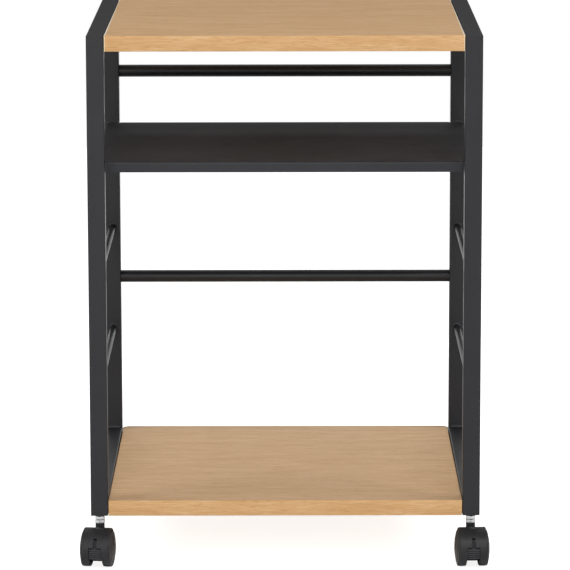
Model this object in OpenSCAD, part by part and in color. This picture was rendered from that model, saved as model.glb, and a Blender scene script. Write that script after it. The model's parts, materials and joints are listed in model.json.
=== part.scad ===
// Mobile printer stand: two welded tube side frames tied by two boards and two
// rear cross tubes, a folded sheet shelf hung on the side rods, and four casters.
// Millimetres, +Z up, front towards -Y, origin on the floor under the middle.

/* [Stand] */
// Width over the two side frames
stand_w = 450; // [360:1:620]
// Depth of the side frames, front to back
stand_d = 400; // [320:1:560]
// Height of the side frames, without the casters
frame_h = 558; // [510:1:800]

/* [Frame tube] */
// Outside width of the square tube
tube_w = 20; // [18:0.5:26]
// Wall thickness of the square tube
tube_wall = 1.2; // [0.8:0.1:2]
// Outside radius of the square tube's corners
tube_r = 1; // [0.6:0.1:2.4]
// Smallest inside radius of the square tube's corners
tube_inner_min = 0.3; // [0.1:0.1:0.8]

/* [Side rods] */
// Diameter of the round rods welded into each side frame
side_rod_d = 8; // [5:0.5:12]
// Height of the lowest side rod above the frame's underside
side_rod_first = 147; // [60:1:180]
// Distance from one side rod up to the next
side_rod_pitch = 127.5; // [60:0.5:140]

/* [Rear cross tubes] */
// Outside diameter of the rear cross tubes
rear_rod_d = 15; // [12:0.5:17]
// Wall thickness of the rear cross tubes
rear_rod_wall = 1.2; // [0.8:0.1:2]
// Height of the lower rear cross tube above the frame's underside
lower_rod_z = 212; // [60:1:300]
// Drop of the upper rear cross tube below the frame's top
upper_rod_drop = 88; // [45:1:120]
// Length of the threaded plug in each end of a cross tube
plug_l = 14; // [11:1:25]

/* [Boards] */
// Thickness of the top and lower boards
board_t = 18; // [15:0.5:24]
// Radius of the boards' rear corners
board_rear_r = 9; // [6:1:40]
// Thickness of the band glued on the front and rear edges
band_t = 1; // [0.4:0.1:3]

/* [Shelf] */
// Thickness of the shelf's sheet steel
sheet_t = 1; // [0.8:0.1:1.6]
// Height of the folded front and rear lips
lip_h = 12; // [8:0.5:30]
// Outside radius of the sheet's bends
bend_r = 2; // [1.7:0.1:4]
// Distance from the front posts back to the front lip
shelf_setback = 22.8; // [2:0.2:60]
// Gap between the shelf and the rear posts
shelf_rear_gap = 1; // [0.5:0.1:10]
// Gap between each end of a lip and the side frame
lip_end_gap = 1.5; // [0.5:0.1:10]
// Depth of the hook that hangs outside each side rod
hook_h = 9; // [5:0.5:20]
// Cut-back of the hooked wings from the front and rear lips
wing_notch = 6; // [4:0.5:30]

/* [Bolts] */
// Thread diameter of the cross bolts
bolt_d = 6; // [5:0.5:7]
// Diameter of the bolts' flat heads
head_d = 10.5; // [9.5:0.5:11]
// Height of the bolts' flat heads
head_h = 2.4; // [1.6:0.1:4]
// Chamfer at the bolts' tips and around their heads
bolt_chamfer = 0.6; // [0.3:0.1:1]
// Width across the corners of the bolts' hexagon sockets
key_d = 4.6; // [3:0.1:5]
// Depth of the bolts' hexagon sockets
key_depth = 3; // [1.5:0.1:4]
// Thread that a bolt turns into its nut
bolt_grip = 11; // [8:0.5:11]
// Room around a board bolt's head in the hole that it goes in by
access_gap = 0.8; // [0.5:0.1:1.2]
// Distance of the board bolts from the middle of the depth
board_bolt_y = 120; // [60:1:140]
// Diameter of the insert nuts in the boards' ends
insert_d = 10; // [9:0.5:12]
// Length of the insert nuts
insert_l = 13; // [11:0.5:20]

/* [Caster wheels] */
// Diameter of a caster wheel
wheel_d = 42; // [38:1:56]
// Width of a caster wheel from its inner face to the middle of its dome
wheel_w = 13; // [12:0.5:18]
// Height of the dome on a wheel's outer face
dome_h = 2.7; // [1.5:0.1:4]
// Radius of a wheel's tread shoulders
shoulder_r = 1.4; // [0.8:0.1:2.2]
// Thickness of a wheel's rim
rim_t = 4; // [2.5:0.1:6]
// Outside diameter of a wheel's hub
wheel_hub_d = 11; // [8.5:0.5:14]
// Depth of the hollow between a wheel's hub and its rim
wheel_recess = 7.5; // [4:0.5:8]
// Diameter of the wheel axle
axle_d = 5; // [4:0.5:6]
// Length of the axle inside each wheel
axle_reach = 9; // [6:0.5:9]

/* [Caster hoods] */
// Thickness of the plate between the two wheels
web_w = 13.4; // [12.6:0.1:18]
// Gap between that plate and each wheel
wheel_gap = 0.5; // [0.3:0.1:1.5]
// Thickness of the fender over the wheels
fender_t = 2.2; // [1.5:0.1:4]
// Gap between the fender and the treads
fender_gap = 0.8; // [0.5:0.1:2]
// Width of the fender over both wheels
fender_w = 32; // [24:0.5:34]
// Radius of the fender's outer edges
fender_edge_r = 1.4; // [0.4:0.1:1.5]
// Angle above the axle at which the fender starts on the open side
fender_from = -20; // [-30:1:5]
// Angle above the axle at which the fender ends on the stem side
fender_to = 140; // [120:1:150]
// Radius of the round part of the plate about the axle
hub_r = 15; // [10:0.5:16]
// Distance from the axle to the swivel axis
trail = 16; // [14:0.5:24]
// Diameter of the socket boss around the stem
boss_d = 12.4; // [11:0.1:12.4]
// How far the boss stays below the hood's top
boss_drop = 4; // [3:0.5:8]
// Height of the boss's lower end above the floor
boss_z = 11; // [6:0.5:14]
// Height of the plate that joins the boss and the axle
bridge_h = 24; // [12:1:26]
// Diameter of the neck above the hood
neck_d = 10.6; // [9.6:0.1:14]
// Height of the neck above the hood
neck_h = 2.5; // [2:0.5:10]
// Swivel of the front left caster at rest
front_left_turn = -7; // [-40:0.5:40]
// Swivel of the front right caster at rest
front_right_turn = 3.5; // [-40:0.5:40]

/* [Caster stems] */
// Diameter of the pin that turns in the hood's socket
pin_d = 8; // [6:0.5:8]
// Height of the pin's lower end above the boss's lower end
pin_lift = 4; // [2:0.5:8]
// Width across the flats of the stem's hexagon collar
collar_w = 10.4; // [9:0.1:14]
// Height of the hexagon collar
collar_h = 4; // [2.6:0.1:8]
// How far the chamfers of the hexagons cut into their flats
hex_chamfer = 0.3; // [0.2:0.1:0.6]
// Thread diameter of the stem
stem_d = 6; // [5:0.5:7]
// Pitch of the stem's thread
thread_pitch = 1; // [0.8:0.05:1.5]
// Depth of the stem's thread
thread_depth = 0.4; // [0.3:0.05:0.6]
// Thread showing between the collar and the lock nut
thread_show = 0.3; // [0.2:0.1:4]
// Width across the flats of the lock nut
lock_w = 10; // [9:0.1:13]
// Height of the lock nut
lock_h = 3.9; // [2.4:0.1:6]
// Thread inside the frame
thread_in = 13; // [8:0.5:15]
// Diameter of the nut that is set in the frame
nut_d = 9.4; // [8.6:0.1:12]
// Height of that nut above the frame's underside
nut_h = 14; // [8:0.5:15]
// Width of the nut's flange around its hole in the frame
flange_lip = 0.8; // [0.5:0.1:2]
// Thickness of that flange
flange_t = 2; // [0.8:0.1:4]
// Slope of the flange's side
flange_slope = 0.5; // [0.2:0.1:1]
// Height of the grip ring above the pin's lower end
ring_lift = 4; // [3:0.5:10]
// Height of the grip ring
ring_h = 1.2; // [0.8:0.1:2]
// Depth of the grip ring's groove in the pin
ring_groove = 0.9; // [0.5:0.1:1.2]
// How far the grip ring stands out of the pin
ring_stand = 0.5; // [0.3:0.1:0.8]
// Room around the grip ring in the hood's groove
ring_room = 0.5; // [0.3:0.1:0.6]
// Angle of the grip ring that is open
ring_open = 50; // [20:5:90]

/* [Brake levers] */
// Angle above the axle of the lever's pivot
pivot_angle = 35; // [30:1:42]
// Distance of the lever's pivot from the axle
pivot_r = 21; // [20.2:0.1:21.6]
// Diameter of the lever's pivot pin
brake_pin_d = 2; // [1.5:0.1:2.4]
// Radius of the lever's round end
lever_end_r = 2; // [1.8:0.1:2.2]
// Width of the lever's arm
arm_w = 3.4; // [2.4:0.1:5]
// Distance of the arm's inner face from the axle
arm_in_r = 20; // [19.6:0.1:20.4]
// Distance of the pad's inner face from the axle
pad_in_r = 18.6; // [18:0.1:19.5]
// Distance of the lever's outer face from the axle
lever_out_r = 23.2; // [22.4:0.1:23.4]
// Gap between the lever's foot pad and each wheel
pad_gap = 0.4; // [0.3:0.1:2]
// Angle of the gap above the pad
pad_room = 3.5; // [3:0.5:6]
// Angle above the axle of the pad's upper edge
pad_top = 10; // [6:0.5:11]
// Angle above the axle of the pad's lower edge
pad_bottom = -20; // [-30:1:-12]
// Number of grooves across the pad
pad_grooves = 4; // [2:1:6]
// Depth and width of a groove
pad_groove = 0.7; // [0.3:0.1:1]

/* [Clearances] */
// Radial running clearance of the axles, pins and stems
running_gap = 0.05; // [0.02:0.01:0.1]
// Radial clearance of pieces that are pressed or screwed together
seat_gap = 0.03; // [0.01:0.01:0.1]
// Radial clearance of the bolts and nuts in the frame's holes
hole_gap = 0.3; // [0.1:0.1:0.8]
// Clearance between the shelf and the rods that carry it
shelf_gap = 0.3; // [0.2:0.1:1]
// Clearance between the caster's neck and the collar above it
swivel_gap = 0.3; // [0.2:0.1:1]
// Clearance around the brake lever's arm
lever_gap = 0.3; // [0.2:0.1:0.4]
// Room past the end of a bolt or axle
end_gap = 0.6; // [0.3:0.1:2]

/* [Hidden] */
$fn = 64;
// How far a cutter runs past the face that it cuts
over = 1;
// Straight pieces in each drawn arc
arc_steps = 8;
// Turns of the stem's thread that are sunk in its collar
thread_sunk = 0.7;

frame_black = "#3f3f42";
shelf_black = "#363635";
wood = "#c9a06f";
wood_edge = "#d7ab7e";
zinc = "#b9bdc0";
nylon_black = "#2f2f31";

// Frame, boards and rods
inner_w = stand_w - 2 * tube_w;
tube_inner_r = max(tube_r - tube_wall, tube_inner_min);
post_x = (stand_w - tube_w) / 2;
post_y = (stand_d - tube_w) / 2;
front_y = -stand_d / 2;
rear_y = stand_d / 2;
side_rod_top = side_rod_first + 2 * side_rod_pitch;
upper_rod_z = frame_h - upper_rod_drop;
rear_rod_heights = [lower_rod_z, upper_rod_z];
board_mid_top = frame_h - board_t / 2;
board_mid_low = board_t / 2;
bolt_hole_d = bolt_d + 2 * hole_gap;
access_d = head_d + 2 * access_gap;
insert_bore_l = max(insert_l, bolt_grip) + end_gap;

// Shelf
shelf_z = side_rod_top + side_rod_d / 2 + shelf_gap;
shelf_top = shelf_z + sheet_t;
shelf_front = front_y + tube_w + shelf_setback;
shelf_rear = rear_y - tube_w - shelf_rear_gap;
lip_x = inner_w / 2 - lip_end_gap;
hook_x = post_x + side_rod_d / 2 + shelf_gap;
bend_in = bend_r - sheet_t;

// Casters, measured from the floor under the stem, with the axle towards -Y
wheel_r = wheel_d / 2;
fender_in = wheel_r + fender_gap;
hood_r = fender_in + fender_t;
hood_top = wheel_r + hood_r;
neck_top = hood_top + neck_h;
collar_z = neck_top + swivel_gap;
thread_z = collar_z + collar_h;
lock_z = thread_z + thread_show;
flange_z = lock_z + lock_h;
frame_z = flange_z + flange_t;
nut_hole_d = nut_d + 2 * hole_gap;
flange_d = nut_hole_d + 2 * flange_lip;
pin_z = boss_z + pin_lift;
pin_r = pin_d / 2;
ring_z = pin_z + ring_lift;
stem_r = stem_d / 2;
thread_from = thread_z - thread_sunk * thread_pitch;
thread_turns = floor((frame_z + thread_in - thread_from) / thread_pitch);
wheel_x = web_w / 2 + wheel_gap;
dome_edge = wheel_w - dome_h;
dome_r = (pow(wheel_r - shoulder_r, 2) + pow(dome_h, 2)) / (2 * dome_h);
dome_angle = acos((wheel_r - shoulder_r) / dome_r);
slot_w = arm_w + 2 * lever_gap;
pad_w = 2 * (wheel_x - pad_gap);
slot_r = pivot_r - lever_end_r - lever_gap;
slot_top = pivot_angle + asin((lever_end_r + lever_gap) / pivot_r);

SIDES = [["left", -1], ["right", 1]];
LEVELS = [["lower", 0], ["middle", 1], ["upper", 2]];
// Name, X side, Y side, swivel at rest and brake of each caster
CASTERS = [
    ["front_left", -1, -1, front_left_turn, true],
    ["front_right", 1, -1, front_right_turn, true],
    ["rear_left", -1, 1, front_right_turn + 180, false],
    ["rear_right", 1, 1, front_left_turn + 180, false]
];

TUBES = ["front_post", "rear_post", "top_rail", "bottom_rail"];
CASTER_PIECES = ["stem", "hood", "axle", "left_wheel", "right_wheel"];
BRAKE_PIECES = ["brake_lever", "brake_pin"];

NODES = concat(
    [for (s = SIDES) for (piece = TUBES) str(s[0], "_", piece)],
    [for (s = SIDES) for (l = LEVELS) str(s[0], "_", l[0], "_side_rod")],
    ["lower_rear_rod", "upper_rear_rod", "rear_rod_plugs", "rear_rod_bolts"],
    ["top_board", "top_front_band", "top_rear_band"],
    ["lower_board", "lower_front_band", "lower_rear_band"],
    ["board_bolts", "board_insert_nuts", "middle_shelf"],
    ["caster_nuts", "stem_lock_nuts", "stem_grip_rings"],
    [for (c = CASTERS) for (piece = CASTER_PIECES) str(c[0], "_caster_", piece)],
    [for (c = CASTERS) if (c[4]) for (piece = BRAKE_PIECES) str(c[0], "_", piece)]
);
node = "all";

function shown(name) = node == "all" || node == name;

// Points of an arc about a centre, from one angle to another
function arc(centre, r, from, to) = [
    for (i = [0 : arc_steps])
        let (a = from + (to - from) * i / arc_steps)
        centre + r * [cos(a), sin(a)]
];

// Corner points of a square with round corners, about the origin
function round_square(w, r) =
    let (c = w / 2 - r)
    concat(
        arc([c, c], r, 0, 90),
        arc([-c, c], r, 90, 180),
        arc([-c, -c], r, 180, 270),
        arc([c, -c], r, 270, 360)
    );

// Rear edge of a board, drawn in by an inset, from its right end to its left end
function rear_edge(inset) =
    let (c = [inner_w / 2 - board_rear_r, rear_y - board_rear_r], r = board_rear_r - inset)
    concat(arc(c, r, 0, 90), arc([-c[0], c[1]], r, 90, 180));

function reversed(points) = [for (i = [len(points) - 1 : -1 : 0]) points[i]];

// Moves the frame's pieces up onto the casters
module on_casters() {
    translate([0, 0, frame_z])
        children();
}

// A round hole or shaft along X
module along_x(d, l) {
    rotate([0, 90, 0])
        cylinder(d = d, h = l, center = true);
}

// A profile in Y and Z, drawn out along X
module side_profile(points, l) {
    rotate([90, 0, 90])
        linear_extrude(l, center = true)
            polygon(points);
}

// A square tube standing on Z with both ends mitred, longest on its -Y side
module mitred_tube(l) {
    far = tube_w + over;
    intersection() {
        translate([0, tube_w / 2, 0])
            linear_extrude(l)
                difference() {
                    polygon(round_square(tube_w, tube_r));
                    polygon(round_square(tube_w - 2 * tube_wall, tube_inner_r));
                }
        side_profile([[-over, -over], [far, far], [far, l - far], [-over, l + over]], 2 * tube_w);
    }
}

// A square tube along Y, lying on Z = 0 with both ends mitred, longest below
module mitred_rail() {
    translate([0, rear_y, 0])
        rotate([90, 0, 0])
            mitred_tube(stand_d);
}

module front_post(side) {
    color(frame_black)
        translate([side * post_x, front_y, 0])
            mitred_tube(frame_h);
}

module rear_post(side) {
    color(frame_black)
        translate([side * post_x, 0, 0])
            difference() {
                translate([0, rear_y, 0])
                    mirror([0, 1, 0])
                        mitred_tube(frame_h);
                for (z = rear_rod_heights)
                    translate([0, post_y, z])
                        along_x(bolt_hole_d, 2 * tube_w);
            }
}

// Holes in a rail at a height: for the board bolts inside, and for their heads outside
module board_bolt_holes(side, z) {
    for (y = [-board_bolt_y, board_bolt_y])
        translate([0, y, z]) {
            along_x(bolt_hole_d, 2 * tube_w);
            translate([side * tube_w / 2, 0, 0])
                along_x(access_d, tube_w);
        }
}

module top_rail(side) {
    color(frame_black)
        translate([side * post_x, 0, 0])
            difference() {
                translate([0, 0, frame_h])
                    mirror([0, 0, 1])
                        mitred_rail();
                board_bolt_holes(side, board_mid_top);
            }
}

module bottom_rail(side) {
    color(frame_black)
        translate([side * post_x, 0, 0])
            difference() {
                mitred_rail();
                board_bolt_holes(side, board_mid_low);
                for (y = [-post_y, post_y])
                    translate([0, y, -over])
                        cylinder(d = nut_hole_d, h = tube_wall + 2 * over);
            }
}

module side_rod(side, level) {
    color(frame_black)
        translate([side * post_x, 0, side_rod_first + level * side_rod_pitch])
            rotate([90, 0, 0])
                cylinder(d = side_rod_d, h = stand_d - 2 * tube_w, center = true);
}

module rear_rod(z) {
    color(frame_black)
        translate([0, post_y, z])
            difference() {
                along_x(rear_rod_d, inner_w);
                along_x(rear_rod_d - 2 * rear_rod_wall, inner_w + 2 * over);
            }
}

// A ring along X that carries a bolt's thread and ends at X = 0
module threaded_sleeve(d, l) {
    translate([-l / 2, 0, 0])
        difference() {
            along_x(d, l);
            along_x(bolt_d + 2 * seat_gap, l + 2 * over);
        }
}

// A flat-headed bolt along X, with its head's seat at X = 0 and its thread towards -X
module cross_bolt(l) {
    r = bolt_d / 2;
    rotate([0, 90, 0])
        difference() {
            rotate_extrude()
                polygon([
                    [0, -l],
                    [r - bolt_chamfer, -l],
                    [r, bolt_chamfer - l],
                    [r, 0],
                    [head_d / 2, 0],
                    [head_d / 2, head_h - bolt_chamfer],
                    [head_d / 2 - bolt_chamfer, head_h],
                    [0, head_h]
                ]);
            translate([0, 0, head_h - key_depth])
                cylinder(d = key_d, h = key_depth + over, $fn = 6);
        }
}

// Copies a piece to both ends of a line along X, turned outwards
module both_ends(x) {
    for (side = [0, 1])
        mirror([side, 0, 0])
            translate([x, 0, 0])
                children();
}

module rear_rod_plugs() {
    color(zinc)
        for (z = rear_rod_heights)
            translate([0, post_y, z])
                both_ends(inner_w / 2)
                    threaded_sleeve(rear_rod_d - 2 * rear_rod_wall - 2 * seat_gap, plug_l);
}

module rear_rod_bolts() {
    color(frame_black)
        for (z = rear_rod_heights)
            translate([0, post_y, z])
                both_ends(stand_w / 2)
                    cross_bolt(tube_w + bolt_grip);
}

// Copies a piece to the board bolts' places along the depth and at both heights
module board_bolt_places() {
    for (y = [-board_bolt_y, board_bolt_y])
        for (z = [board_mid_low, board_mid_top])
            translate([0, y, z])
                children();
}

module board_bolts() {
    color(frame_black)
        board_bolt_places()
            both_ends(inner_w / 2 + tube_wall)
                cross_bolt(tube_wall + bolt_grip);
}

module board_insert_nuts() {
    color(zinc)
        board_bolt_places()
            both_ends(inner_w / 2)
                threaded_sleeve(insert_d, insert_l);
}

// The core of a board between its two edge bands, with its underside at Z = 0
module board_core() {
    x = inner_w / 2;
    y = rear_y - board_rear_r;
    difference() {
        linear_extrude(board_t)
            polygon(concat(
                [[-x, y], [-x, front_y + band_t], [x, front_y + band_t], [x, y]],
                rear_edge(band_t)
            ));
        for (side = [-x, x])
            for (bolt_y = [-board_bolt_y, board_bolt_y])
                translate([side, bolt_y, board_t / 2])
                    along_x(insert_d + 2 * seat_gap, 2 * insert_bore_l);
    }
}

module front_band() {
    translate([-inner_w / 2, front_y, 0])
        cube([inner_w, band_t, board_t]);
}

module rear_band() {
    linear_extrude(board_t)
        polygon(concat(rear_edge(0), reversed(rear_edge(band_t))));
}

module at_top() {
    translate([0, 0, frame_h - board_t])
        children();
}

module top_board() {
    color(wood)
        at_top()
            board_core();
}

module top_front_band() {
    color(wood_edge)
        at_top()
            front_band();
}

module top_rear_band() {
    color(wood_edge)
        at_top()
            rear_band();
}

module lower_board() {
    color(wood)
        board_core();
}

module lower_front_band() {
    color(wood_edge)
        front_band();
}

module lower_rear_band() {
    color(wood_edge)
        rear_band();
}

// Section of a sheet folded down at its far end, with its top at zero
function folded_edge(far, drop) = concat(
    [[far - sheet_t, -drop], [far, -drop]],
    arc([far - bend_r, -bend_r], bend_r, 0, 90)
);

// Inner side of the same fold, back to the sheet's underside
function folded_edge_inside(far) = arc([far - bend_r, -bend_r], bend_in, 90, 0);

// Section along the depth: the plate with a lip folded down at the front and the rear
module shelf_pan() {
    half = (shelf_rear - shelf_front) / 2;
    right = concat(folded_edge_inside(half), folded_edge(half, lip_h));
    left = [for (p = reversed(right)) [-p[0], p[1]]];
    translate([0, shelf_front + half, 0])
        side_profile(concat(right, left), 2 * lip_x);
}

// Section across the width: a wing that lies over the side rod and hooks down outside it
module shelf_wing() {
    far = hook_x + sheet_t;
    l = shelf_rear - shelf_front - 2 * wing_notch;
    translate([0, shelf_rear - wing_notch, 0])
        rotate([90, 0, 0])
            linear_extrude(l)
                polygon(concat(
                    [[lip_x - bend_r, 0], [lip_x - bend_r, -sheet_t]],
                    folded_edge_inside(far),
                    folded_edge(far, hook_h)
                ));
}

module middle_shelf() {
    color(shelf_black)
        translate([0, 0, shelf_top]) {
            shelf_pan();
            both_ends(0)
                shelf_wing();
        }
}

// Places a caster's piece under its post, turned to its swivel at rest
module at_caster(caster) {
    translate([caster[1] * post_x, caster[2] * post_y, 0])
        rotate([0, 0, caster[3]])
            children();
}

// Turns a piece's Z axis onto the caster's axle
module about_axle() {
    translate([0, -trail, wheel_r])
        rotate([0, 90, 0])
            children();
}

// Turns X onto a direction at an angle above the axle, on the open side
module at_angle(angle) {
    rotate([0, 0, 270 - angle])
        children();
}

// Part of a ring about the axle, between two angles above it on the open side
module ring_part(from, to) {
    at_angle(to)
        rotate_extrude(angle = to - from)
            children();
}

// A plain ring part of a given width
module sector(r_in, r_out, w, from, to) {
    ring_part(from, to)
        translate([r_in, -w / 2])
            square([r_out - r_in, w]);
}

// Section of the fender, with round outer edges
module fender_section() {
    c = [hood_r - fender_edge_r, fender_w / 2 - fender_edge_r];
    polygon(concat(
        [[fender_in, fender_w / 2], [fender_in, -fender_w / 2]],
        arc([c[0], -c[1]], fender_edge_r, -90, 0),
        arc(c, fender_edge_r, 0, 90)
    ));
}

module at_pivot() {
    at_angle(pivot_angle)
        translate([pivot_r, 0, 0])
            children();
}

// Channel for the brake lever's arm and pad, with the hole for its pin
module brake_channel() {
    sector(slot_r, hood_r + over, slot_w, pad_top, slot_top);
    sector(pad_in_r - lever_gap, hood_r + over, 2 * wheel_x, fender_from - over, pad_top + pad_room);
    at_pivot()
        cylinder(d = brake_pin_d + 2 * seat_gap, h = web_w + 2 * over, center = true);
}

module caster_hood(braked) {
    color(nylon_black)
        difference() {
            union() {
                about_axle() {
                    ring_part(fender_from, fender_to)
                        fender_section();
                    sector(0, fender_in + fender_t / 2, web_w, fender_from, fender_to);
                    cylinder(r = hub_r, h = web_w, center = true);
                }
                translate([-web_w / 2, -trail, boss_z])
                    cube([web_w, trail, bridge_h]);
                translate([0, 0, boss_z])
                    cylinder(d = boss_d, h = hood_top - boss_drop - boss_z);
                translate([0, 0, boss_z + bridge_h / 2])
                    cylinder(d = neck_d, h = neck_top - boss_z - bridge_h / 2);
            }
            about_axle() {
                cylinder(d = axle_d + 2 * seat_gap, h = web_w + 2 * over, center = true);
                if (braked)
                    brake_channel();
            }
            translate([0, 0, pin_z - end_gap])
                cylinder(d = pin_d + 2 * running_gap, h = neck_top);
            translate([0, 0, ring_z - ring_room])
                cylinder(r = pin_r + ring_stand + ring_room, h = ring_h + 2 * ring_room);
        }
}

module caster_axle() {
    color(zinc)
        about_axle()
            cylinder(d = axle_d, h = 2 * (wheel_x + axle_reach), center = true);
}

// A wheel on Z with its inner face at Z = 0: round shoulders, domed outside, hollow inside
module wheel() {
    difference() {
        rotate_extrude()
            polygon(concat(
                [[0, 0]],
                arc([wheel_r - shoulder_r, shoulder_r], shoulder_r, -90, 0),
                arc([wheel_r - shoulder_r, dome_edge - shoulder_r], shoulder_r, 0, 90),
                arc([0, wheel_w - dome_r], dome_r, dome_angle, 90)
            ));
        translate([0, 0, -over])
            cylinder(d = axle_d + 2 * running_gap, h = axle_reach + end_gap + over);
        rotate_extrude()
            translate([wheel_hub_d / 2, -over])
                square([wheel_r - rim_t - wheel_hub_d / 2, wheel_recess + over]);
    }
}

module caster_wheel(side) {
    color(nylon_black)
        about_axle()
            mirror([0, 0, side < 0 ? 1 : 0])
                translate([0, 0, wheel_x])
                    wheel();
}

// Outline of the stem: the grooved pin below and the ridged thread above
function stem_outline() = concat(
    [
        [0, pin_z],
        [pin_r - thread_depth, pin_z],
        [pin_r, pin_z + thread_depth],
        [pin_r, ring_z - seat_gap],
        [pin_r - ring_groove, ring_z - seat_gap],
        [pin_r - ring_groove, ring_z + ring_h + seat_gap],
        [pin_r, ring_z + ring_h + seat_gap],
        [pin_r, thread_from]
    ],
    [
        for (i = [0 : thread_turns - 1])
            let (z = thread_from + i * thread_pitch)
            each [[stem_r - thread_depth, z], [stem_r, z + thread_pitch / 2]]
    ],
    [
        [stem_r - thread_depth, thread_from + thread_turns * thread_pitch],
        [0, thread_from + thread_turns * thread_pitch]
    ]
);

// A hexagon of a width across its flats, with a corner to the front and both ends chamfered
module hexagon(w, h) {
    end_r = w / 2 - hex_chamfer;
    rise = over * tan(30);
    intersection() {
        rotate([0, 0, 30])
            cylinder(d = w / cos(30), h = h, $fn = 6);
        rotate_extrude()
            polygon([
                [0, 0],
                [end_r, 0],
                [end_r + over, rise],
                [end_r + over, h - rise],
                [end_r, h],
                [0, h]
            ]);
    }
}

module caster_stem() {
    color(zinc) {
        rotate_extrude()
            polygon(stem_outline());
        translate([0, 0, collar_z])
            hexagon(collar_w, collar_h);
    }
}

module stem_lock_nuts() {
    color(zinc)
        for (caster = CASTERS)
            at_caster(caster)
                translate([0, 0, lock_z])
                    difference() {
                        hexagon(lock_w, lock_h);
                        translate([0, 0, -over])
                            cylinder(d = stem_d + 2 * seat_gap, h = lock_h + 2 * over);
                    }
}

module stem_grip_rings() {
    color(zinc)
        for (caster = CASTERS)
            at_caster(caster)
                translate([0, 0, ring_z])
                    rotate([0, 0, ring_open / 2])
                        rotate_extrude(angle = 360 - ring_open)
                            translate([pin_r - ring_groove + running_gap, 0])
                                square([ring_groove + ring_stand, ring_h]);
}

module caster_nuts() {
    color(frame_black)
        for (caster = CASTERS)
            at_caster(caster)
                difference() {
                    union() {
                        translate([0, 0, flange_z])
                            cylinder(d1 = flange_d - 2 * flange_slope, d2 = flange_d, h = flange_t);
                        translate([0, 0, flange_z])
                            cylinder(d = nut_d, h = flange_t + nut_h);
                    }
                    translate([0, 0, flange_z - over])
                        cylinder(d = stem_d + 2 * seat_gap, h = flange_t + nut_h + 2 * over);
                }
}

module brake_lever() {
    color(nylon_black)
        about_axle()
            difference() {
                union() {
                    at_pivot()
                        cylinder(r = lever_end_r, h = arm_w, center = true);
                    sector(arm_in_r, lever_out_r, arm_w, pad_top - over, pivot_angle);
                    sector(pad_in_r, lever_out_r, pad_w, pad_bottom, pad_top);
                }
                at_pivot()
                    cylinder(d = brake_pin_d + 2 * running_gap, h = arm_w + 2 * over, center = true);
                for (i = [1 : pad_grooves])
                    at_angle(pad_bottom + (pad_top - pad_bottom) * i / (pad_grooves + 1))
                        translate([lever_out_r, 0, 0])
                            cube([2 * pad_groove, pad_groove, pad_w + 2 * over], center = true);
            }
}

module brake_pin() {
    color(zinc)
        about_axle()
            at_pivot()
                cylinder(d = brake_pin_d, h = web_w, center = true);
}

for (s = SIDES) {
    if (shown(str(s[0], "_front_post"))) on_casters() front_post(s[1]);
    if (shown(str(s[0], "_rear_post"))) on_casters() rear_post(s[1]);
    if (shown(str(s[0], "_top_rail"))) on_casters() top_rail(s[1]);
    if (shown(str(s[0], "_bottom_rail"))) on_casters() bottom_rail(s[1]);
    for (l = LEVELS)
        if (shown(str(s[0], "_", l[0], "_side_rod"))) on_casters() side_rod(s[1], l[1]);
}
if (shown("lower_rear_rod")) on_casters() rear_rod(lower_rod_z);
if (shown("upper_rear_rod")) on_casters() rear_rod(upper_rod_z);
if (shown("rear_rod_plugs")) on_casters() rear_rod_plugs();
if (shown("rear_rod_bolts")) on_casters() rear_rod_bolts();
if (shown("top_board")) on_casters() top_board();
if (shown("top_front_band")) on_casters() top_front_band();
if (shown("top_rear_band")) on_casters() top_rear_band();
if (shown("lower_board")) on_casters() lower_board();
if (shown("lower_front_band")) on_casters() lower_front_band();
if (shown("lower_rear_band")) on_casters() lower_rear_band();
if (shown("board_bolts")) on_casters() board_bolts();
if (shown("board_insert_nuts")) on_casters() board_insert_nuts();
if (shown("middle_shelf")) on_casters() middle_shelf();
if (shown("caster_nuts")) caster_nuts();
if (shown("stem_lock_nuts")) stem_lock_nuts();
if (shown("stem_grip_rings")) stem_grip_rings();
for (c = CASTERS) {
    if (shown(str(c[0], "_caster_stem"))) at_caster(c) caster_stem();
    if (shown(str(c[0], "_caster_hood"))) at_caster(c) caster_hood(c[4]);
    if (shown(str(c[0], "_caster_axle"))) at_caster(c) caster_axle();
    if (shown(str(c[0], "_caster_left_wheel"))) at_caster(c) caster_wheel(-1);
    if (shown(str(c[0], "_caster_right_wheel"))) at_caster(c) caster_wheel(1);
    if (c[4] && shown(str(c[0], "_brake_lever"))) at_caster(c) brake_lever();
    if (c[4] && shown(str(c[0], "_brake_pin"))) at_caster(c) brake_pin();
}
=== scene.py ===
# %% [markdown]
# # A mobile printer stand
# The stand is two welded tube frames, two wood-grain boards, a hung sheet-steel
# shelf and swivel casters. The CAD model holds every piece at its true size and
# place, so this lesson dresses it: a camera, a pale stage, one material for each
# real finish, and finer meshes where a mould, a trimmed edge or a weld shows.
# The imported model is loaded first, because every later piece rides on its bodies.

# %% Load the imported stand
import json
import math

import bmesh
import bpy
from mathutils import Matrix, Vector


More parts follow.
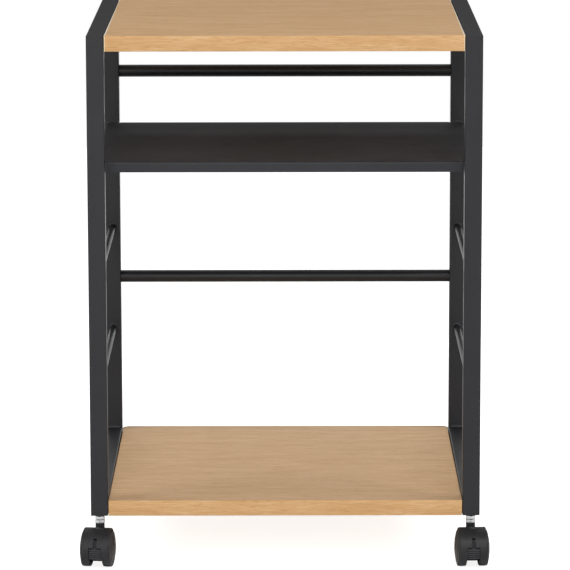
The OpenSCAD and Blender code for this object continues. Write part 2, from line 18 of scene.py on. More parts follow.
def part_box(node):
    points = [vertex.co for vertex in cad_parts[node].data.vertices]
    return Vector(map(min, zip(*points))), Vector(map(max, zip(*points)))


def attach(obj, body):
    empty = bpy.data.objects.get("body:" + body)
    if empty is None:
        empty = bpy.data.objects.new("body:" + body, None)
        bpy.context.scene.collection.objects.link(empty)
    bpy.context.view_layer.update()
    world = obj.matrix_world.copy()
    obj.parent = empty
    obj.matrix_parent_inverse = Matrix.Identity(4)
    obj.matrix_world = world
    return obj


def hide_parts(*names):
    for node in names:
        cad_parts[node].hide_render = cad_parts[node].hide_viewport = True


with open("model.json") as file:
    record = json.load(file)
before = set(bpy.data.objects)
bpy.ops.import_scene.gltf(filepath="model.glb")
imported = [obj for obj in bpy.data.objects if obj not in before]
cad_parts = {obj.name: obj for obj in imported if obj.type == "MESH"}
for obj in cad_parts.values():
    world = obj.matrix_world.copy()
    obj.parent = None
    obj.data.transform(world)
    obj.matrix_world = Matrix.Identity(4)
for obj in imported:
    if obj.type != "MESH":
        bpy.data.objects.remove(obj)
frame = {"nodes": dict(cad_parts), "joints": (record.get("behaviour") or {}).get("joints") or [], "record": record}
nodes = frame["nodes"]
joints = {joint["name"]: joint for joint in frame["joints"]}
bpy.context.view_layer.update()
MM = 0.001

# %% [markdown]
# The photograph looks at the front from a little above, through a long lens. Its
# upright lines are parallel, as a shifted lens gives them. A shift would stay on
# in every other view and push the stand out of the picture, so the camera is
# tilted instead. Its place, tilt and focal length were fitted by least squares to
# corners whose CAD places are known.

# %% Camera
IMAGE_W = 570
FOCAL_PIXELS = 3774
SENSOR_MM = 36
CAMERA_MM = (4, -4450, 1104)
# The angles are in radians.
LOOK_DOWN = 0.1803
TURN = 0.0006
ROLL = 0.0017

camera_data = bpy.data.cameras.new("camera")
camera_data.sensor_width = SENSOR_MM
camera_data.lens = SENSOR_MM * FOCAL_PIXELS / IMAGE_W
camera = bpy.data.objects.new("camera", camera_data)
camera.location = Vector(CAMERA_MM) * MM
camera.rotation_euler = (math.pi / 2 - LOOK_DOWN, ROLL, TURN)
bpy.context.scene.collection.objects.link(camera)
bpy.context.scene.camera = camera
bpy.context.scene.view_settings.view_transform = "Standard"
print("camera lens", round(camera_data.lens, 1), "mm")

# %% [markdown]
# Every material below is a small tree of nodes. One function adds a node, sets
# what it is told to and links what it is given, so that each tree reads as a list.
# A second one turns a colour as a screen shows it into the linear light that a
# shader works in, and a third one turns the real size of a pattern into the
# number of times that it repeats in a metre.

# %% Helpers for materials
def add_node(tree, kind, inputs=None, **settings):
    """Adds a node, sets its properties, and sets or links its inputs."""
    made = tree.nodes.new(kind)
    for name, value in settings.items():
        setattr(made, name, value)
    for name, value in (inputs or {}).items():
        if isinstance(value, bpy.types.NodeSocket):
            tree.links.new(value, made.inputs[name])
        else:
            made.inputs[name].default_value = value
    return made


def linear(hex_colour):
    """Turns an sRGB colour such as #808080 into linear red, green, blue, alpha."""
    parts = [int(hex_colour[i:i + 2], 16) / 255 for i in (1, 3, 5)]
    return [c / 12.92 if c <= 0.04045 else ((c + 0.055) / 1.055) ** 2.4 for c in parts] + [1]


def per_metre(size_mm):
    """How often a pattern of this size repeats in a metre."""
    return 1 / (size_mm * MM)


def start_material(name):
    """A new material: its tree, its shader, and a coordinate in metres on the piece."""
    material = bpy.data.materials.new(name)
    material.use_nodes = True
    tree = material.node_tree
    place = add_node(tree, "ShaderNodeTexCoord").outputs["Object"]
    return material, tree, tree.nodes["Principled BSDF"], place


print("a mid grey #808080 is", round(linear("#808080")[0], 3), "in linear light")

# %% [markdown]
# The stand is on a pale disc of floor in a white world. To the camera the world is
# plain white. To all other light, mirrored light too, it is an even, weaker white:
# the photograph's black coat mirrors no white studio, and the stand isn't flooded.
# The floor is matt white paint, lifted by a little glow that only the camera sees:
# lit floor goes to white, and the shadow under the casters stays.

# %% Stage: floor and world
# The floor's radius is in metres.
FLOOR_RADIUS = 3.2
FLOOR_STEPS = 96
FLOOR_GLOW = 0.82
AMBIENT = 0.11

floor_mesh = bpy.data.meshes.new("floor")
rim = [2 * math.pi * i / FLOOR_STEPS for i in range(FLOOR_STEPS)]
floor_mesh.from_pydata(
    [(FLOOR_RADIUS * math.cos(a), FLOOR_RADIUS * math.sin(a), 0) for a in rim],
    [], [range(FLOOR_STEPS)])
floor = bpy.data.objects.new("floor", floor_mesh)
bpy.context.scene.collection.objects.link(floor)

floor_paint = bpy.data.materials.new("matt_white_floor_paint")
floor_paint.use_nodes = True
tree = floor_paint.node_tree
tree.nodes.remove(tree.nodes["Principled BSDF"])
path = add_node(tree, "ShaderNodeLightPath")
lift = add_node(tree, "ShaderNodeMath", {0: path.outputs["Is Camera Ray"], 1: FLOOR_GLOW},
                operation="MULTIPLY")
paint = add_node(tree, "ShaderNodeBsdfDiffuse", {"Color": linear("#f2f2f2")})
glow = add_node(tree, "ShaderNodeEmission", {"Strength": lift.outputs[0]})
lifted = add_node(tree, "ShaderNodeAddShader", {0: paint.outputs[0], 1: glow.outputs[0]})
tree.links.new(lifted.outputs[0], tree.nodes["Material Output"].inputs["Surface"])
floor_mesh.materials.append(floor_paint)

world = bpy.data.worlds.new("white_studio")
bpy.context.scene.world = world
world.use_nodes = True
tree = world.node_tree
path = add_node(tree, "ShaderNodeLightPath")
level = add_node(tree, "ShaderNodeMapRange",
                 {"Value": path.outputs["Is Camera Ray"], "To Min": AMBIENT, "To Max": 1})
tree.links.new(level.outputs[0], tree.nodes["Background"].inputs["Strength"])
tree.nodes["Background"].inputs["Color"].default_value = linear("#ffffff")
print("the world is white to the camera, and", AMBIENT, "of white to other light")

# %% [markdown]
# The photograph's light is soft and comes from all round. A low soft box in front
# lights the upright faces and the lower rear tube, while the top board shades the
# upper tube. A high one lights the boards' tops. One box at each side and one
# behind keep the other faces from going black. A low white card close behind the
# stand is mirrored in the lower board, whose paper gets its neutral sheen, and
# along the inner corners of the front posts, but not in the shelf. The camera sees
# none of them. Each lamp's power is worked out from the share of a white card's
# brightness that it should give, so the colours render as they are written.

# %% Soft boxes
# A point near the middle of the stand, in metres.
AIM = Vector((0, 0, 0.34))
# Name, azimuth and elevation in degrees, distance, width and height in metres, share of white.
SOFT_BOXES = [
    ("low_soft_box", -6, 16, 5.0, 2.4, 2.6, 0.275),
    ("high_soft_box", 8, 42, 4.5, 2.6, 1.4, 0.30),
    ("left_soft_box", -75, 34, 4.5, 2.4, 1.6, 0.34),
    ("right_soft_box", 75, 34, 4.5, 2.4, 1.6, 0.34),
    ("rear_soft_box", 180, 52, 4.5, 2.6, 1.6, 0.115),
    ("low_rear_card", 180, -2.9, 1.2, 1.8, 0.44, 0.20),
]

for name, azimuth, elevation, distance, width, height, share in SOFT_BOXES:
    a, e = math.radians(azimuth), math.radians(elevation)
    away = Vector((math.sin(a) * math.cos(e), -math.cos(a) * math.cos(e), math.sin(e)))
    lamp = bpy.data.lights.new(name, "AREA")
    lamp.shape = "RECTANGLE"
    lamp.size = width
    lamp.size_y = height
    # P watts at a distance of d light a white card to P / (pi * d) ** 2 of white.
    lamp.energy = share * (math.pi * distance) ** 2
    holder = bpy.data.objects.new(name, lamp)
    holder.location = AIM + away * distance
    holder.rotation_euler = away.to_track_quat("Z", "Y").to_euler()
    holder.visible_camera = False
    bpy.context.scene.collection.objects.link(holder)
    print(name, "of", round(lamp.energy), "watts")

# %% [markdown]
# The tubes and the shelf are steel with a fine-textured black powder coat. The
# powder melts into a skin with shallow dimples, the orange peel, about one and a
# half millimetres across. That spreads every reflection, so the coat looks satin.
# A wide cloudy noise gives the small changes of tone between thick and thin coat.
# The peel is drawn a little coarser than it is, because it would vanish otherwise.

# %% Powder-coated steel
PEEL_MM = 1.8
PEEL_DEPTH_MM = 0.05
CLOUD_MM = 60
CLOUD_FROM, CLOUD_TO = 0.35, 0.65
COAT_GLOSS_SPREAD = 0.02


def powder_coated_steel(name, thin_coat, thick_coat, roughness, specular):
    """Satin powder coat between two tones, with orange peel."""
    material, tree, shader, place = start_material(name)
    cloud = add_node(tree, "ShaderNodeTexNoise", {
        "Vector": place, "Scale": per_metre(CLOUD_MM), "Detail": 4, "Roughness": 0.6})
    tone = add_node(tree, "ShaderNodeMapRange", {
        "Value": cloud.outputs["Fac"], "From Min": CLOUD_FROM, "From Max": CLOUD_TO})
    colour = add_node(tree, "ShaderNodeMix", {
        0: tone.outputs[0], 6: linear(thin_coat), 7: linear(thick_coat)}, data_type="RGBA")
    gloss = add_node(tree, "ShaderNodeMapRange", {
        "Value": tone.outputs[0],
        "To Min": roughness - COAT_GLOSS_SPREAD, "To Max": roughness + COAT_GLOSS_SPREAD})
    peel = add_node(tree, "ShaderNodeTexNoise", {
        "Vector": place, "Scale": per_metre(PEEL_MM), "Detail": 2})
    dimples = add_node(tree, "ShaderNodeBump", {
        "Height": peel.outputs["Fac"], "Distance": PEEL_DEPTH_MM * MM, "Strength": 0.5})
    tree.links.new(colour.outputs[2], shader.inputs["Base Color"])
    tree.links.new(gloss.outputs[0], shader.inputs["Roughness"])
    tree.links.new(dimples.outputs[0], shader.inputs["Normal"])
    shader.inputs["Specular IOR Level"].default_value = specular
    return material


tube_coat = powder_coated_steel("powder_coated_steel_tube", "#1d1d21", "#1a1a1e",
                                roughness=0.44, specular=0.48)
sheet_coat = powder_coated_steel("powder_coated_steel_sheet", "#2c2d31", "#2a2b2f",
                                 roughness=0.50, specular=0.38)
bolt_coat = powder_coated_steel("black_coated_bolt_steel", "#232324", "#1c1c1d",
                                roughness=0.4, specular=0.4)
print("three coats on steel")

# %% [markdown]
# The boards are chipboard faced with a wood-grain melamine paper and edged with a
# printed band. The print imitates a quiet oak: fibres a few centimetres long and
# nearly two millimetres wide that run the width of the board, broad soft figure,
# and short dark pores. The band's fibres are finer. Noise that is stretched along
# the grain gives all three. A thin pale line at the top board's ends stands for the
# paper's cut edge and for a painted highlight on the broken corner. The lower
# board, which lies below the upper faces of its rails, has no such line.

# %% Wood-grain melamine and edge band
FIGURE_MM = (90, 12)
PORE_MM = (9, 1.2)
FIGURE_SHARE = 0.6
DARK_AT, MID_AT, PALE_AT = 0.58, 0.8, 1
PORE_FROM, PORE_TO, PORE_SHARE = 0.54, 0.72, 0.6
PAPER_GLOSS = (0.50, 0.62)
PAPER_SPECULAR = 0.25
PORE_DEPTH_MM = 0.05
PALE_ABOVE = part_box("lower_board")[1].z
SEAM = 0.5 * MM
board_half_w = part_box("top_board")[1].x - SEAM


def wood_grain_melamine(name, fibre_mm, dark, mid, pale, pore, pale_end_colour, line_mm):
    """Printed wood grain along X, with a pale line of cut edge and painted highlight at the top board's two ends.
    """
    material, tree, shader, place = start_material(name)
    layers = []
    for length, width in (fibre_mm, FIGURE_MM, PORE_MM):
        stretched = add_node(tree, "ShaderNodeMapping", {
            "Vector": place, "Scale": (per_metre(length), per_metre(width), per_metre(width))})
        noise = add_node(tree, "ShaderNodeTexNoise", {
            "Vector": stretched.outputs[0], "Scale": 1, "Detail": 4, "Roughness": 0.55,
            "Distortion": 0.3})
        layers.append(noise.outputs["Fac"])
    fibre, figure, pores = layers
    blend = add_node(tree, "ShaderNodeMath", {0: figure, 1: FIGURE_SHARE, 2: fibre},
                     operation="MULTIPLY_ADD")
    ramp = add_node(tree, "ShaderNodeValToRGB", {"Fac": blend.outputs[0]})
    stops = ramp.color_ramp.elements
    stops[0].position, stops[0].color = DARK_AT, linear(dark)
    stops[1].position, stops[1].color = PALE_AT, linear(pale)
    stops.new(MID_AT).color = linear(mid)
    open_pore = add_node(tree, "ShaderNodeMapRange", {
        "Value": pores, "From Min": PORE_FROM, "From Max": PORE_TO, "To Max": PORE_SHARE})
    printed = add_node(tree, "ShaderNodeMix", {
        0: open_pore.outputs[0], 6: ramp.outputs[0], 7: linear(pore)}, data_type="RGBA")
    split = add_node(tree, "ShaderNodeSeparateXYZ", {0: place})
    across = add_node(tree, "ShaderNodeMath", {0: split.outputs["X"]}, operation="ABSOLUTE")
    line_from = board_half_w - line_mm * MM
    at_end = add_node(tree, "ShaderNodeMath", {0: across.outputs[0], 1: line_from},
                      operation="GREATER_THAN")
    on_top = add_node(tree, "ShaderNodeMath", {0: split.outputs["Z"], 1: PALE_ABOVE},
                      operation="GREATER_THAN")
    pale_line = add_node(tree, "ShaderNodeMath", {0: at_end.outputs[0], 1: on_top.outputs[0]},
                         operation="MULTIPLY")
    # Cut edge and painted highlight: a pale line along the top board's two ends.
    colour = add_node(tree, "ShaderNodeMix", {
        0: pale_line.outputs[0], 6: printed.outputs[2], 7: linear(pale_end_colour)}, data_type="RGBA")
    gloss = add_node(tree, "ShaderNodeMapRange", {
        "Value": fibre, "To Min": PAPER_GLOSS[0], "To Max": PAPER_GLOSS[1]})
    emboss = add_node(tree, "ShaderNodeBump", {
        "Height": pores, "Distance": PORE_DEPTH_MM * MM, "Strength": 0.3})
    tree.links.new(colour.outputs[2], shader.inputs["Base Color"])
    tree.links.new(gloss.outputs[0], shader.inputs["Roughness"])
    tree.links.new(emboss.outputs[0], shader.inputs["Normal"])
    shader.inputs["Specular IOR Level"].default_value = PAPER_SPECULAR
    return material


board_face = wood_grain_melamine(
    "wood_grain_melamine_paper", fibre_mm=(30, 1.8), dark="#cda374", mid="#d8b083",
    pale="#e1bb91", pore="#b78a5d", pale_end_colour="#fbf0dd", line_mm=1.3)
band_face = wood_grain_melamine(
    "wood_grain_edge_band", fibre_mm=(22, 0.7), dark="#cb9b66", mid="#d6a975",
    pale="#e2ba8b", pore="#b98852", pale_end_colour="#ecd6b4", line_mm=1.0)
print("melamine for boards", round(2 * board_half_w / MM), "mm wide")

# %% [markdown]
# Stems, axles, insert nuts and pins are turned steel with bright zinc plating. The
# plating is a metal, so its colour is in its reflection. Turning leaves fine rings
# around the axis, drawn here as a wave along the height and far coarser than the
# real marks, which wouldn't show. The bath leaves soft clouds of duller metal.

# %% Zinc-plated steel
BATH_CLOUD_MM = 6
RING_MM = 3
RING_DEPTH_MM = 0.02
# Blender's wave texture goes through this many radians in one unit of its scale.
WAVE_RADIANS = 20
ZINC_GLOSS = (0.18, 0.3)

zinc, tree, shader, place = start_material("zinc_plated_turned_steel")
cloud = add_node(tree, "ShaderNodeTexNoise", {
    "Vector": place, "Scale": per_metre(BATH_CLOUD_MM), "Detail": 4})
colour = add_node(tree, "ShaderNodeMix", {
    0: cloud.outputs["Fac"], 6: linear("#dfe2e4"), 7: linear("#fbfbfb")}, data_type="RGBA")
gloss = add_node(tree, "ShaderNodeMapRange", {
    "Value": cloud.outputs["Fac"], "To Min": ZINC_GLOSS[0], "To Max": ZINC_GLOSS[1]})
rings = add_node(tree, "ShaderNodeTexWave", {
    "Vector": place, "Scale": per_metre(RING_MM) * 2 * math.pi / WAVE_RADIANS, "Distortion": 0.6},
    bands_direction="Z")
ridges = add_node(tree, "ShaderNodeBump", {
    "Height": rings.outputs["Fac"], "Distance": RING_DEPTH_MM * MM, "Strength": 0.4})
tree.links.new(colour.outputs[2], shader.inputs["Base Color"])
tree.links.new(gloss.outputs[0], shader.inputs["Roughness"])
tree.links.new(ridges.outputs[0], shader.inputs["Normal"])
shader.inputs["Metallic"].default_value = 1
print("zinc plating on turned steel")

# %% [markdown]
# Hoods and wheels are moulded black nylon. The mould is spark eroded, which prints
# a fine even grain, drawn coarser here so that it shows. The wheels' treads run
# smoother, and the floor scuffs them a little paler, so they have their own tones.

# %% Moulded nylon
SPARK_GRAIN_MM = 1.4
SCUFF_MM = 9
SCUFF_FROM, SCUFF_TO = 0.42, 0.72
NYLON_GLOSS_SPREAD = 0.06
NYLON_SPECULAR = 0.35


def moulded_nylon(name, deep, scuffed, roughness, grain_depth_mm):
    """Spark-eroded black nylon with patches of paler scuffing."""
    material, tree, shader, place = start_material(name)
    scuff = add_node(tree, "ShaderNodeTexNoise", {
        "Vector": place, "Scale": per_metre(SCUFF_MM), "Detail": 5, "Roughness": 0.65})
    tone = add_node(tree, "ShaderNodeMapRange", {
        "Value": scuff.outputs["Fac"], "From Min": SCUFF_FROM, "From Max": SCUFF_TO})
    colour = add_node(tree, "ShaderNodeMix", {
        0: tone.outputs[0], 6: linear(deep), 7: linear(scuffed)}, data_type="RGBA")
    gloss = add_node(tree, "ShaderNodeMapRange", {
        "Value": scuff.outputs["Fac"],
        "To Min": roughness - NYLON_GLOSS_SPREAD, "To Max": roughness + NYLON_GLOSS_SPREAD})
    grain = add_node(tree, "ShaderNodeTexNoise", {
        "Vector": place, "Scale": per_metre(SPARK_GRAIN_MM), "Detail": 1})
    pits = add_node(tree, "ShaderNodeBump", {
        "Height": grain.outputs["Fac"], "Distance": grain_depth_mm * MM, "Strength": 0.5})
    tree.links.new(colour.outputs[2], shader.inputs["Base Color"])
    tree.links.new(gloss.outputs[0], shader.inputs["Roughness"])
    tree.links.new(pits.outputs[0], shader.inputs["Normal"])
    shader.inputs["Specular IOR Level"].default_value = NYLON_SPECULAR
    return material


hood_nylon = moulded_nylon("spark_eroded_moulded_nylon", "#232325", "#2b2b2d",
                           roughness=0.46, grain_depth_mm=0.15)
wheel_nylon = moulded_nylon("moulded_nylon_wheel", "#29292b", "#38383a",
                            roughness=0.40, grain_depth_mm=0.04)
print("two mouldings in black nylon")

# %% [markdown]
# The brake lever is the same nylon, pressed by a shoe. Its arm keeps the mould's
# deep matt black. Painted shade darkens its grooves and creases, and the open rib
# tops of its pad are painted paler, as scuffing and as a painted highlight.
# Ambient occlusion tells the two apart: it measures how open a point is, here
# within the lever itself, so that the painted shade and highlight ride along when
# it tilts. The height in the lever's own box tells the pad from the arm.

# %% Brake lever
GROOVE_REACH_MM = 1.2
GROOVE_OPEN, RIB_OPEN = 0.5, 1.0
ARM_FROM, PAD_TO = 0.62, 0.5
LEVER_GRAIN_DEPTH_MM = 0.1
LEVER_ROUGHNESS, LEVER_SPECULAR = 0.6, 0.2

lever_nylon, tree, shader, place = start_material("moulded_nylon_lever")
openness = add_node(tree, "ShaderNodeAmbientOcclusion", {"Distance": GROOVE_REACH_MM * MM},
                    samples=8, only_local=True)
on_rib = add_node(tree, "ShaderNodeMapRange", {
    "Value": openness.outputs["AO"], "From Min": GROOVE_OPEN, "From Max": RIB_OPEN})
in_box = add_node(tree, "ShaderNodeSeparateXYZ", {
    0: add_node(tree, "ShaderNodeTexCoord").outputs["Generated"]})
on_pad = add_node(tree, "ShaderNodeMapRange", {
    "Value": in_box.outputs["Z"], "From Min": ARM_FROM, "From Max": PAD_TO})
# Painted shade: the grooves and creases that ambient occlusion finds closed are darker.
moulded = add_node(tree, "ShaderNodeMix", {
    0: on_rib.outputs[0], 6: linear("#0e0e0f"), 7: linear("#262628")}, data_type="RGBA")
# The pad's open rib tops are painted paler, as scuff wear and as a painted highlight.
worn_and_highlighted = add_node(tree, "ShaderNodeMath", {0: on_rib.outputs[0], 1: on_pad.outputs[0]},
                operation="MULTIPLY")
colour = add_node(tree, "ShaderNodeMix", {
    0: worn_and_highlighted.outputs[0], 6: moulded.outputs[2], 7: linear("#3f3f42")}, data_type="RGBA")
grain = add_node(tree, "ShaderNodeTexNoise", {
    "Vector": place, "Scale": per_metre(SPARK_GRAIN_MM), "Detail": 1})
pits = add_node(tree, "ShaderNodeBump", {
    "Height": grain.outputs["Fac"], "Distance": LEVER_GRAIN_DEPTH_MM * MM, "Strength": 0.5})
tree.links.new(colour.outputs[2], shader.inputs["Base Color"])
tree.links.new(pits.outputs[0], shader.inputs["Normal"])
shader.inputs["Roughness"].default_value = LEVER_ROUGHNESS
shader.inputs["Specular IOR Level"].default_value = LEVER_SPECULAR
# Painted groove shade, and rib wear with a painted highlight, reach over GROOVE_REACH_MM.
print("a lever whose ribs are worn over", GROOVE_REACH_MM, "mm")

# %% [markdown]
# Each CAD node takes the material of its slot in the record, and the brake levers
# take their own. The node keeps its mesh: only what its material slots hold is
# changed.

# %% Dress the CAD nodes
FINISHES = {
    "powder_coated_tube": tube_coat,
    "powder_coated_sheet": sheet_coat,
    "black_steel": bolt_coat,
    "wood_grain_board": board_face,
    "edge_band": band_face,
    "zinc_plated_steel": zinc,
    "moulded_nylon": hood_nylon,
    "moulded_nylon_wheel": wheel_nylon,
}
slot_of = {part["node"]: part["material_slot"] for part in frame["record"]["subparts"]}
for name, node in nodes.items():
    finish = lever_nylon if name.endswith("_brake_lever") else FINISHES[slot_of[name]]
    node.data.materials.clear()
    node.data.materials.append(finish)
print("dressed", len(slot_of), "nodes in", len(FINISHES), "finishes")

# %% [markdown]
# New pieces are built with bmesh, Blender's mesh editing kit, then handed to one
# function. It smooths gentle turns and keeps real edges sharp, gives the piece the
# finish of its slot, and makes it ride on its body in place of its CAD node.

# %% Helper for new pieces
SHARP_ANGLE = math.radians(35)


def add_piece(name, kit, body, slot, stands_for=()):
    """Turns a bmesh into a piece that rides on a body."""
    bmesh.ops.recalc_face_normals(kit, faces=kit.faces)
    mesh = bpy.data.meshes.new(name)
    kit.to_mesh(mesh)
    kit.free()
    mesh.shade_smooth()
    mesh.set_sharp_from_angle(angle=SHARP_ANGLE)
    mesh.materials.append(FINISHES[slot])
    piece = bpy.data.objects.new(name, mesh)
    bpy.context.scene.collection.objects.link(piece)
    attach(piece, body)
    if stands_for:
        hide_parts(*stands_for)
    return piece


print("edges sharper than", round(math.degrees(SHARP_ANGLE)), "degrees stay sharp")

# %% [markdown]
# A board is a slab with square front corners and round rear ones. Its ends stop half
# a millimetre short of the tubes, which leaves a thin dark line there, and the sharp
# corner of their paper is broken by a file. The front and rear bands are glued on and
# trimmed to a small radius, which catches the light as a bright line. An outline that
# is extruded and then bevelled only along the trimmed edges gives that; bevelling
# every edge would open a groove at the glue line.

# %% Helpers for boards
REAR_CORNER = 9 * MM
CORNER_STEPS = 20
TRIM = 0.5 * MM
TRIM_STEPS = 3
ROUND_PROFILE = 0.5
NEAR = 0.01 * MM


def near(a, b):
    """Whether two lengths are the same."""
    return abs(a - b) < NEAR


def rear_corners(half_w, rear, inset):
    """The rear edge's outline from right to left, drawn in by an inset."""
    r = REAR_CORNER - inset
    points = []
    for side, start in ((1, 0), (-1, 90)):
        for i in range(CORNER_STEPS + 1):
            a = math.radians(start + 90 * i / CORNER_STEPS)
            points.append((side * (half_w - REAR_CORNER) + r * math.cos(a),
                           rear - REAR_CORNER + r * math.sin(a)))
    return points


def extruded(outline, low, high):
    """A bmesh slab from a flat outline."""
    kit = bmesh.new()
    face = kit.faces.new([kit.verts.new((x, y, low)) for x, y in outline])
    raised = bmesh.ops.extrude_face_region(kit, geom=[face])
    for item in raised["geom"]:
        if isinstance(item, bmesh.types.BMVert):
            item.co.z = high
    return kit


def trim_edges(kit, wanted):
    """Rounds the edges whose two ends pass a test."""
    edges = [edge for edge in kit.edges if wanted(edge.verts[0].co, edge.verts[1].co)]
    bmesh.ops.bevel(kit, geom=edges, offset=TRIM, segments=TRIM_STEPS, profile=ROUND_PROFILE,
                    affect="EDGES")


print("bands are trimmed to", TRIM / MM, "mm")

# %% [markdown]
# Both boards are made alike: a panel, a strip for the front band, and for the rear
# band a strip that follows the round corners. The CAD boxes give their places.

# %% Boards and bands
for level in ("top", "lower"):
    low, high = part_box(f"{level}_board")
    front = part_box(f"{level}_front_band")[0].y
    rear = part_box(f"{level}_rear_band")[1].y
    half_w = high.x - SEAM
    outer = rear_corners(half_w, rear, 0)
    inner = rear_corners(half_w, rear, low.y - front)

    kit = extruded([(-half_w, low.y), (half_w, low.y)] + inner, low.z, high.z)
    trim_edges(kit, lambda a, b: near(abs(a.x), half_w) and near(a.x, b.x) and near(a.z, b.z))
    add_piece(f"{level}_board_panel", kit, "frame", "wood_grain_board", [f"{level}_board"])

    kit = extruded([(-half_w, front), (half_w, front), (half_w, low.y), (-half_w, low.y)],
                   low.z, high.z)
    trim_edges(kit, lambda a, b: near(a.y, front) and near(b.y, front))
    add_piece(f"{level}_front_edge_band", kit, "frame", "edge_band", [f"{level}_front_band"])

    kit = extruded(outer + inner[::-1], low.z, high.z)
    on_outer = {(round(x / NEAR), round(y / NEAR)) for x, y in outer}
    trim_edges(kit, lambda a, b: near(a.z, b.z) and all(
        (round(end.x / NEAR), round(end.y / NEAR)) in on_outer for end in (a, b)))
    add_piece(f"{level}_rear_edge_band", kit, "frame", "edge_band", [f"{level}_rear_band"])
    print(level, "board: panel and two bands,", round((high.z - low.z) / MM), "mm thick")

# %% [markdown]
# A caster wheel is a nylon dish, domed outside and hollow inside. Turning one
# profile around the axle gives the whole wheel, as a lathe would: a crowned tread
# between round shoulders, a fine groove where the cover is snapped on, a hub cap
# ring and the small dimple of the mould's gate. The profile is drawn in
# millimetres, outward along the axle from the wheel's inner face.

# %% Profile of a caster wheel
TREAD_R = joints["front_left_left_wheel_spin"]["pos_m"][2] / MM
WHEEL_W, DOME_H = 13, 2.7
SHOULDER_R, SHOULDER_STEPS, CROWN = 1.4, 6, 0.15
BORE_R, BORE_DEPTH, HUB_R = 2.55, 9.6, 5.5
RIM_R, HOLLOW_DEPTH = 17, 7.5
# Middle radius, half width at the top, half width at the floor, depth.
DOME_GROOVES = ((16.7, 0.5, 0.2, 0.4), (7.2, 0.4, 0.2, 0.3))
GATE_TOP_R, GATE_FLOOR_R, GATE_DEPTH = 1.4, 1.2, 0.35
DOME_RINGS = (13, 10, 4)


def arc(centre, r, start, end, steps):
    """Points of an arc in the profile's plane."""
    angles = [math.radians(start + (end - start) * i / steps) for i in range(steps + 1)]
    return [(centre[0] + r * math.cos(a), centre[1] + r * math.sin(a)) for a in angles]


def wheel_profile():
    """Half section of a wheel, from the end of its bore round to the middle of its dome."""
    edge_r = TREAD_R - SHOULDER_R
    dome_foot = WHEEL_W - DOME_H
    dome_r = (edge_r ** 2 + DOME_H ** 2) / (2 * DOME_H)

    def dome(r):
        return WHEEL_W - dome_r + math.sqrt(dome_r ** 2 - r ** 2)

    points = [(0, BORE_DEPTH), (BORE_R, BORE_DEPTH), (BORE_R, 0), (HUB_R, 0),
              (HUB_R, HOLLOW_DEPTH), (RIM_R, HOLLOW_DEPTH), (RIM_R, 0)]
    points += arc((edge_r - CROWN, SHOULDER_R), SHOULDER_R, -90, 0, SHOULDER_STEPS)
    points.append((TREAD_R, dome_foot / 2))
    points += arc((edge_r - CROWN, dome_foot - SHOULDER_R), SHOULDER_R, 0, 90, SHOULDER_STEPS)
    face = [(r, 0) for r in DOME_RINGS] + [(GATE_TOP_R, 0), (GATE_FLOOR_R, GATE_DEPTH)]
    for middle, top, floor_w, depth in DOME_GROOVES:
        face += [(middle + top, 0), (middle + floor_w, depth),
                 (middle - floor_w, depth), (middle - top, 0)]
    points += [(r, dome(r) - sunk) for r, sunk in sorted(face, reverse=True)]
    points.append((0, dome(0) - GATE_DEPTH))
    return [(r * MM, h * MM) for r, h in points]


wheel_section = wheel_profile()
print("wheel section of", len(wheel_section), "points")

# %% [markdown]
# One helper joins a row of closed rings of points by faces; a lathe is such a row
# along the axle. The place and direction of each axle come from the CAD joint that
# the wheel turns on.

# %% Caster wheels
LATHE_STEPS = 96
# From the middle of the axle to a wheel's inner face.
INNER_FACE = 7.2 * MM


def join_rings(kit, rings, looped=False):
    """Joins a row of closed rings, each of as many points, by faces."""
    following = rings[1:] + (rings[:1] if looped else [])
    for here, ahead in zip(rings, following):
        for k in range(len(here)):
            n = (k + 1) % len(here)
            corners = dict.fromkeys((here[k], here[n], ahead[n], ahead[k]))
            kit.faces.new(list(corners))


def lathe(profile, steps):
    """Turns (radius, height) points about Z into a closed skin."""
    kit = bmesh.new()
    turns = [2 * math.pi * i / steps for i in range(steps)]
    rings = []
    for r, h in profile:
        if r == 0:
            rings.append([kit.verts.new((0, 0, h))] * steps)
        else:
            rings.append([kit.verts.new((r * math.cos(a), r * math.sin(a), h)) for a in turns])
    join_rings(kit, rings)
    return kit


wheels = []
for name, joint in joints.items():
    if not name.endswith("_wheel_spin"):
        continue
    body = joint["child"]
    side = "left" if body.endswith("_left_wheel") else "right"
    outward = Vector(joint["axis"]) * (-1 if side == "left" else 1)
    kit = lathe(wheel_section, LATHE_STEPS)
    kit.transform(Matrix.Translation(Vector(joint["pos_m"]) + outward * INNER_FACE)
                  @ outward.to_track_quat("Z", "Y").to_matrix().to_4x4())
    node = body.replace(f"_{side}_wheel", f"_caster_{side}_wheel")
    wheels.append(add_piece(f"{body}_moulding", kit, body, "moulded_nylon_wheel", [node]))
print("turned", len(wheels), "wheels of", len(wheels[0].data.vertices), "points")

# %% [markdown]
# The side rods are welded to the posts, and the corners of each frame are welded
# inside too. Under the coat a weld is a small hollow fillet with ripples from the
# moving torch. A fillet around a rod is one section carried round it, whose size
# swells and shrinks a little; the section's corner is sunk into the steel.

# %% Welds at the side rods
WELD_LEG = 2.6 * MM
WELD_SINK = 0.25 * MM
FILLET_STEPS = 4
RIPPLES = 11
RIPPLE_DEPTH = 0.12
WAVER_DEPTH, WAVER_TURNS, WAVER_SHIFT = 0.07, 3, 40
ROD_STEPS = 66


def weld_section(swell):
    """A hollow fillet's section as (along the first face, along the second), corner at nought."""
    leg = WELD_LEG * swell
    angles = [math.radians(90 * i / FILLET_STEPS) for i in range(FILLET_STEPS + 1)]
    hollow = [(leg * (1 - math.sin(a)), leg * (1 - math.cos(a))) for a in angles]
    return [(-WELD_SINK, -WELD_SINK), (leg, -WELD_SINK)] + hollow + [(-WELD_SINK, leg)]


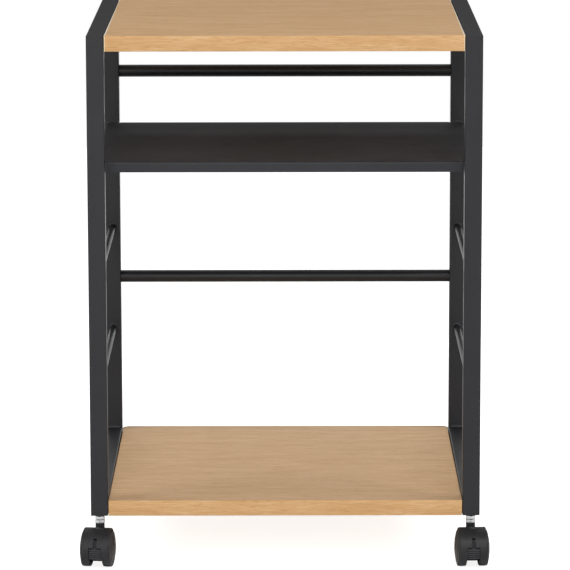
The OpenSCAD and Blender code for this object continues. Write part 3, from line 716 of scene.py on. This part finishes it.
kit = bmesh.new()
for side in ("left", "right"):
    for level in ("lower", "middle", "upper"):
        low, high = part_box(f"{side}_{level}_side_rod")
        rod_r = (high.x - low.x) / 2
        centre = (low + high) / 2
        for end_y, inward in ((low.y, 1), (high.y, -1)):
            rings = []
            for i in range(ROD_STEPS):
                a = 2 * math.pi * i / ROD_STEPS
                swell = 1 + RIPPLE_DEPTH * math.sin(RIPPLES * a)
                swell += WAVER_DEPTH * math.sin(WAVER_TURNS * a + WAVER_SHIFT * centre.z)
                rings.append([kit.verts.new((centre.x + (rod_r + out) * math.cos(a),
                                             end_y + inward * along,
                                             centre.z + (rod_r + out) * math.sin(a)))
                              for out, along in weld_section(swell)])
            join_rings(kit, rings, looped=True)
rod_welds = add_piece("side_rod_welds", kit, "frame", "powder_coated_tube")
print("welds at the side rods:", len(rod_welds.data.polygons), "faces")

# %% [markdown]
# A corner weld is the same section drawn along the tube's width. It starts and ends
# thinner, a little way in from the tube's sides, where the torch was lifted.

# %% Welds in the corners
BEAD_STEPS = 40
BEAD_INSET = 2 * MM
BEAD_START, BEAD_RISE = 0.35, 6

kit = bmesh.new()
for side in ("left", "right"):
    low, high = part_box(f"{side}_bottom_rail")
    top_rail_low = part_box(f"{side}_top_rail")[0].z
    rod_low, rod_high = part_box(f"{side}_lower_side_rod")
    bead_w = high.x - low.x - 2 * BEAD_INSET
    for y, inward in ((rod_low.y, 1), (rod_high.y, -1)):
        for z, up in ((high.z, 1), (top_rail_low, -1)):
            rings = []
            for i in range(BEAD_STEPS + 1):
                t = i / BEAD_STEPS
                swell = 1 + RIPPLE_DEPTH * math.sin(RIPPLES * 2 * math.pi * t)
                swell *= min(1, BEAD_START + BEAD_RISE * min(t, 1 - t))
                rings.append([kit.verts.new((low.x + BEAD_INSET + bead_w * t,
                                             y + inward * along, z + up * out))
                              for along, out in weld_section(swell)])
            join_rings(kit, rings)
            kit.faces.new(rings[0])
            kit.faces.new(rings[-1])
corner_welds = add_piece("corner_welds", kit, "frame", "powder_coated_tube")
print("welds in the corners:", len(corner_welds.data.polygons), "faces")

# %% [markdown]
# The view layer is brought up to date, so that every added piece stands in its place.

# %% Update the view layer
bpy.context.view_layer.update()
